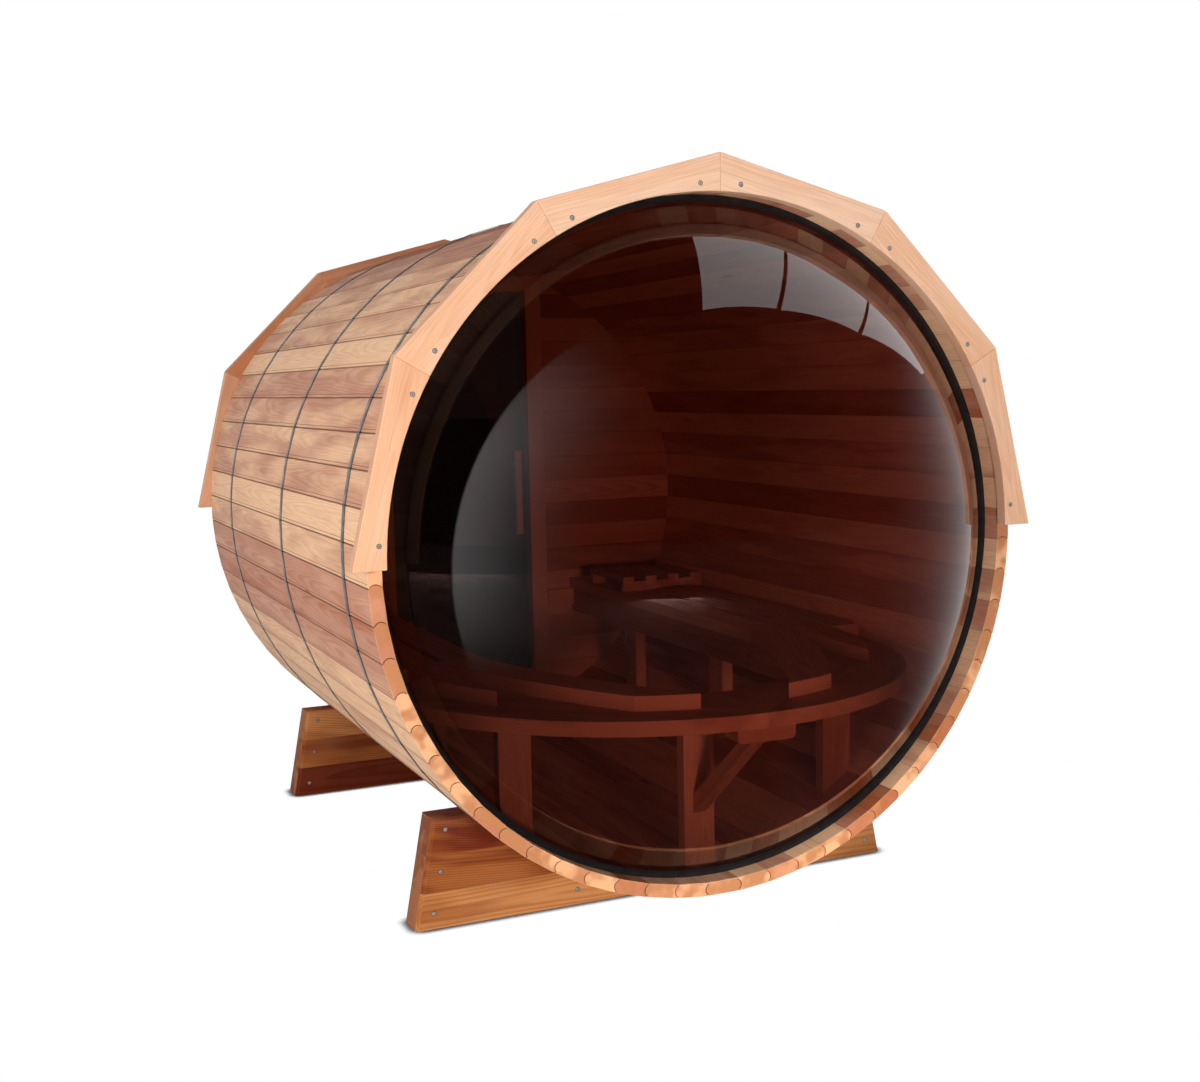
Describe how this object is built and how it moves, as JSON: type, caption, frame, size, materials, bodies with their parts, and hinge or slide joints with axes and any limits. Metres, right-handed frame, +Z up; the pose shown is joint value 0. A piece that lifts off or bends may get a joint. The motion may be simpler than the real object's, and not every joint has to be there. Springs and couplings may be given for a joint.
{
  "type": "barrel sauna",
  "caption": "Round stave sauna cabin on two timber cradles, with steel bands, a domed bubble window at one end, a hinged glass door at the other and a U-shaped bench inside.",
  "frame": {"origin": "on the ground, at the middle of the overall width and length", "axes": "+Z up, +Y along the barrel towards the door, -Y towards the bubble window, X across"},
  "size_m": [1.906, 2.544, 1.975],
  "materials": {
    "stave_cedar": "planed, lightly oiled",
    "trim_cedar": "planed, lightly oiled",
    "cradle_cedar": "planed, oiled",
    "wall_cedar": "planed",
    "bench_cedar": "sanded",
    "frame_cedar": "planed",
    "handle_wood": "sanded",
    "band_steel": "dull zinc",
    "hinge_steel": "satin",
    "bronze_acrylic": "gloss, bronze tint",
    "tinted_glass": "gloss, dark tint"
  },
  "bodies": {
    "cabin": {"barrel_staves_01": "stave_cedar", "barrel_staves_02": "stave_cedar", "barrel_staves_03": "stave_cedar", "barrel_staves_04": "stave_cedar", "barrel_staves_05": "stave_cedar", "barrel_staves_06": "stave_cedar", "barrel_staves_07": "stave_cedar", "barrel_staves_08": "stave_cedar", "barrel_staves_09": "stave_cedar", "barrel_staves_10": "stave_cedar", "barrel_staves_11": "stave_cedar", "barrel_staves_12": "stave_cedar", "barrel_staves_13": "stave_cedar", "barrel_staves_14": "stave_cedar", "barrel_staves_15": "stave_cedar", "barrel_staves_16": "stave_cedar", "bench_aprons": "bench_cedar", "bench_front_board": "bench_cedar", "bench_front_props": "bench_cedar", "bench_ledgers": "bench_cedar", "bench_left_boards": "bench_cedar", "bench_legs": "bench_cedar", "bench_right_boards": "bench_cedar", "bubble_window": "bronze_acrylic", "door_end_band": "band_steel", "door_end_cradle_blocks": "cradle_cedar", "door_end_cradle_sill": "cradle_cedar", "door_end_trim_left": "trim_cedar", "door_end_trim_right": "trim_cedar", "door_head_and_sill": "frame_cedar", "door_hinge_plates": "hinge_steel", "door_posts": "frame_cedar", "end_wall_left": "wall_cedar", "end_wall_over_and_under_door": "wall_cedar", "end_wall_right": "wall_cedar", "headrest": "bench_cedar", "middle_band": "band_steel", "window_end_band": "band_steel", "window_end_cradle_blocks": "cradle_cedar", "window_end_cradle_sill": "cradle_cedar", "window_end_trim_left": "trim_cedar", "window_end_trim_right": "trim_cedar"},
    "door": {"door_glass": "tinted_glass", "door_handles": "handle_wood", "door_hinge_clamps": "hinge_steel"}
  },
  "joints": [
    {"name": "door_hinge", "type": "hinge", "parent": "cabin", "child": "door", "pos_m": [-0.291, 1.2025, 1.009], "axis": [0, 0, 1], "range_deg": [0, 100]}
  ]
}
